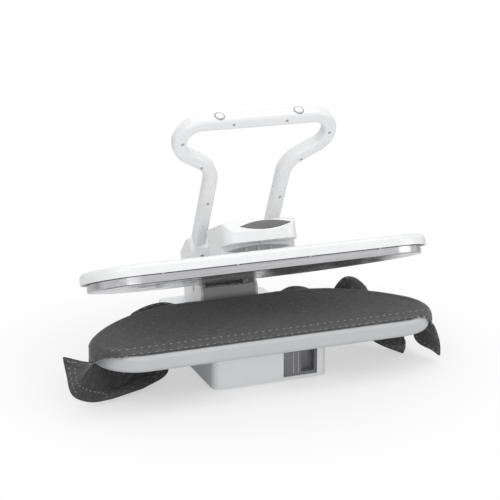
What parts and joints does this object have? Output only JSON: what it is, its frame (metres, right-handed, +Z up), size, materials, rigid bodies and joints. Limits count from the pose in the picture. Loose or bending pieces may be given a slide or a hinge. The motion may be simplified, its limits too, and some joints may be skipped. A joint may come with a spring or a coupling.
{
  "type": "steam ironing press",
  "caption": "Tabletop steam ironing press: a padded board on a box base, a hinged heated plate held open above it and a wide loop handle.",
  "frame": {"origin": "on the floor, in the middle of the floor rectangle that the press fills", "axes": "+X to the user's right along the board, +Y from the user to the hinge, +Z up"},
  "size_m": [0.7348, 0.3944, 0.5017],
  "materials": {
    "white_plastic": "smooth moulded plastic, soft gloss",
    "grey_plastic": "light grey moulded plastic",
    "dark_panel": "dark grey moulded plastic",
    "white_paint": "white powder coat",
    "silver_trim": "silver paint",
    "steel": "zinc-plated steel",
    "aluminium": "polished cast aluminium",
    "rubber": "black rubber",
    "smoked": "smoked clear plastic",
    "dark_lens": "glossy dark lens",
    "charcoal_cloth": "woven charcoal cloth",
    "silver_cloth": "heat-resistant woven cover",
    "foam": "open-cell foam",
    "circuit": "circuit board",
    "hose": "silicone hose"
  },
  "bodies": {
    "base": {"base_housing": "grey_plastic", "base_plate": "steel", "rubber_feet": "rubber", "base_screws": "steel", "tank_bay": "dark_panel", "pump": "dark_panel", "water_hoses": "hose", "power_board": "circuit", "cord_gland": "dark_panel", "board_tray": "grey_plastic", "tray_screws": "steel", "bed_plate": "steel", "foam_pad": "foam", "board_cover": "silver_cloth", "pressing_cloth": "charcoal_cloth", "column_left_cheek": "white_paint", "column_right_cheek": "white_paint", "column_front_panel": "dark_panel", "column_rear_panel": "grey_plastic", "hinge_pin": "steel", "hinge_spacers": "steel", "torsion_springs": "steel", "stop_bumpers": "rubber"},
    "platen_side": {"hinge_bushes": "dark_panel", "hinge_arms": "white_paint", "hinge_hood": "white_plastic", "top_cover": "white_plastic", "frame_plate": "steel", "carrier_plate": "dark_panel", "cover_screws": "steel", "platen": "aluminium", "seam_gasket": "rubber", "platen_nuts": "steel", "steam_pan": "aluminium", "heating_element": "steel", "thermostat": "steel", "steam_generator": "aluminium", "pod_housing": "white_plastic", "pod_screws": "steel", "display_window": "dark_lens", "display_board": "circuit", "control_strip": "silver_trim", "keypad": "rubber", "handle_front_shell": "white_plastic", "handle_rear_shell": "white_plastic", "handle_core": "steel", "handle_screws": "steel", "button_bezels": "silver_trim", "button_switches": "dark_panel", "handle_feet": "white_plastic", "hub_bolts": "steel", "button_springs": "steel"},
    "tank": {"water_tank": "smoked"},
    "filler_cap": {"tank_cap": "dark_panel"},
    "left_button": {"left_steam_button": "white_plastic"},
    "right_button": {"right_steam_button": "white_plastic"},
    "key_1": {"control_key_1": "grey_plastic"},
    "key_2": {"control_key_2": "grey_plastic"},
    "key_3": {"control_key_3": "grey_plastic"}
  },
  "joints": [
    {"name": "press_hinge", "type": "hinge", "parent": "base", "child": "platen_side", "pos_m": [0, 0.11825, 0.11], "axis": [1, 0, 0], "range_deg": [0, 22.3], "stiffness_Nm_per_rad": 14, "springref_deg": -63.03},
    {"name": "tank_slide", "type": "slide", "parent": "base", "child": "tank", "axis": [0, -1, 0], "range_m": [0, 0.13]},
    {"name": "filler_cap_turn", "type": "hinge", "parent": "tank", "child": "filler_cap", "pos_m": [0.0507, -0.09075, 0.06], "axis": [0, 0, 1], "range_deg": [0, 90]},
    {"name": "left_button_press", "type": "slide", "parent": "platen_side", "child": "left_button", "axis": [0, 0.4509, -0.8926], "range_m": [0, 0.0025], "stiffness_N_per_m": 600, "springref_m": -0.002},
    {"name": "right_button_press", "type": "slide", "parent": "platen_side", "child": "right_button", "axis": [0, 0.4509, -0.8926], "range_m": [0, 0.0025], "stiffness_N_per_m": 600, "springref_m": -0.002},
    {"name": "key_1_press", "type": "slide", "parent": "platen_side", "child": "key_1", "axis": [0, 0.9252, -0.3795], "range_m": [0, 0.0012], "stiffness_N_per_m": 500, "springref_m": -0.001},
    {"name": "key_2_press", "type": "slide", "parent": "platen_side", "child": "key_2", "axis": [0, 0.9252, -0.3795], "range_m": [0, 0.0012], "stiffness_N_per_m": 500, "springref_m": -0.001},
    {"name": "key_3_press", "type": "slide", "parent": "platen_side", "child": "key_3", "axis": [0, 0.9252, -0.3795], "range_m": [0, 0.0012], "stiffness_N_per_m": 500, "springref_m": -0.001}
  ]
}
